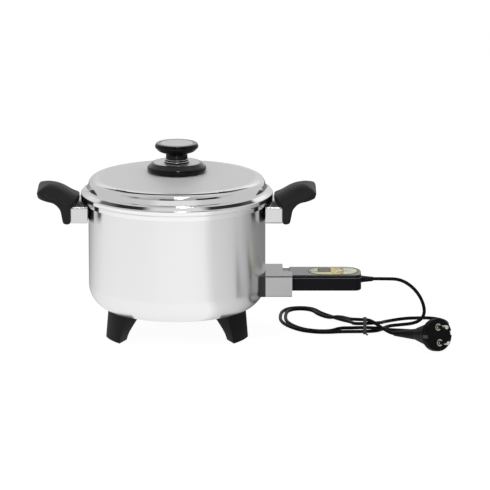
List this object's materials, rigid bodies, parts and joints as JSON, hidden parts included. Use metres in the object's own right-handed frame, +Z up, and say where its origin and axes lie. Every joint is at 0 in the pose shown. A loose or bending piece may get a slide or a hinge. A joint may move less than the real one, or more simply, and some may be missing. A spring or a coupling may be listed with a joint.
{
  "type": "electric cooking pot",
  "caption": "Steel electric cooking pot on black feet with a lift-off domed lid, side handles and a corded plug-in heat control that pulls out of a socket guard.",
  "frame": {"origin": "on the floor under the pot's axis", "axes": "+Z up along the pot's axis; +X towards the control head; -Y towards the viewer of the picture"},
  "size_m": [0.5043, 0.2381, 0.2384],
  "materials": {
    "polished_steel": "mirror polished stainless steel",
    "trim_steel": "polished steel trim",
    "black_handle": "fine matt moulded phenolic",
    "black_gloss": "smooth glossy moulded plastic",
    "head_shell": "satin moulded plastic",
    "gold_face": "gold satin face plate",
    "display_glass": "tinted clear window",
    "display_grey": "liquid crystal module",
    "button_cream": "matt cream moulded plastic",
    "board_green": "coated circuit board",
    "component_black": "moulded component",
    "sheath_steel": "drawn steel tube",
    "nickel": "nickel plated",
    "zinc": "zinc plated steel",
    "spreader_aluminium": "cast plate, machined flat",
    "ceramic_white": "fired ceramic",
    "silicone_grey": "moulded silicone",
    "mineral_wool": "pressed mineral wool",
    "cord_black": "smooth moulded cord sheath",
    "tie_black": "plastic coated wire"
  },
  "bodies": {
    "pot": {"outer_jacket": "polished_steel", "inner_pot": "polished_steel", "socket_guard": "polished_steel", "left_ferrule": "polished_steel", "right_ferrule": "polished_steel", "left_grip": "black_handle", "right_grip": "black_handle", "rear_foot": "black_handle", "front_left_foot": "black_handle", "front_right_foot": "black_handle", "heating_element": "sheath_steel", "probe_well": "sheath_steel", "terminal_pins": "nickel", "base_cover_screws": "zinc", "foot_screws": "zinc", "foot_inserts": "zinc", "handle_bolts": "zinc", "handle_bosses": "zinc", "guard_screws": "zinc", "guard_spacers": "zinc", "base_cover": "zinc", "heat_spreader": "spreader_aluminium", "pin_bushes": "ceramic_white", "rim_gasket": "silicone_grey", "insulation_sleeve": "mineral_wool"},
    "lid": {"lid_pan": "polished_steel", "lid_seat_ring": "polished_steel", "knob_skirt": "black_gloss", "knob_ring_plate": "trim_steel", "lid_stem": "sheath_steel", "stem_washer": "sheath_steel", "stem_nut": "sheath_steel"},
    "knob": {"vent_knob": "black_gloss", "knob_disc": "trim_steel"},
    "control_head": {"controller_lower_shell": "head_shell", "controller_upper_shell": "head_shell", "controller_nose": "head_shell", "contact_sleeves": "nickel", "probe_rod": "sheath_steel", "face_plate": "gold_face", "display_window": "display_glass", "display_module": "display_grey", "control_board": "board_green", "power_relay": "component_black", "key_switches": "component_black", "controller_screws": "zinc", "strain_relief": "head_shell", "mains_lead": "cord_black", "cord_hank": "cord_black", "cord_tie": "tie_black", "plug_boot": "cord_black", "plug_body": "cord_black", "plug_pins": "nickel", "earth_clips": "nickel"},
    "power_key": {"power_button": "button_cream"},
    "plus_key": {"plus_button": "button_cream"},
    "timer_key": {"timer_button": "button_cream"},
    "minus_key": {"minus_button": "button_cream"},
    "mode_key": {"mode_button": "button_cream"}
  },
  "joints": [
    {"name": "lid_lift", "type": "slide", "parent": "pot", "child": "lid", "axis": [0, 0, 1], "range_m": [0, 0.15]},
    {"name": "vent_turn", "type": "hinge", "parent": "lid", "child": "knob", "pos_m": [0, 0, 0.22], "axis": [0, 0, 1], "range_deg": [0, 90]},
    {"name": "head_pull", "type": "slide", "parent": "pot", "child": "control_head", "axis": [1, 0, 0], "range_m": [0, 0.12]},
    {"name": "power_press", "type": "slide", "parent": "control_head", "child": "power_key", "axis": [0, 0, -1], "range_m": [0, 0.0007], "stiffness_N_per_m": 1500},
    {"name": "plus_press", "type": "slide", "parent": "control_head", "child": "plus_key", "axis": [0, 0, -1], "range_m": [0, 0.0007], "stiffness_N_per_m": 1500},
    {"name": "timer_press", "type": "slide", "parent": "control_head", "child": "timer_key", "axis": [0, 0, -1], "range_m": [0, 0.0007], "stiffness_N_per_m": 1500},
    {"name": "minus_press", "type": "slide", "parent": "control_head", "child": "minus_key", "axis": [0, 0, -1], "range_m": [0, 0.0007], "stiffness_N_per_m": 1500},
    {"name": "mode_press", "type": "slide", "parent": "control_head", "child": "mode_key", "axis": [0, 0, -1], "range_m": [0, 0.0007], "stiffness_N_per_m": 1500}
  ]
}
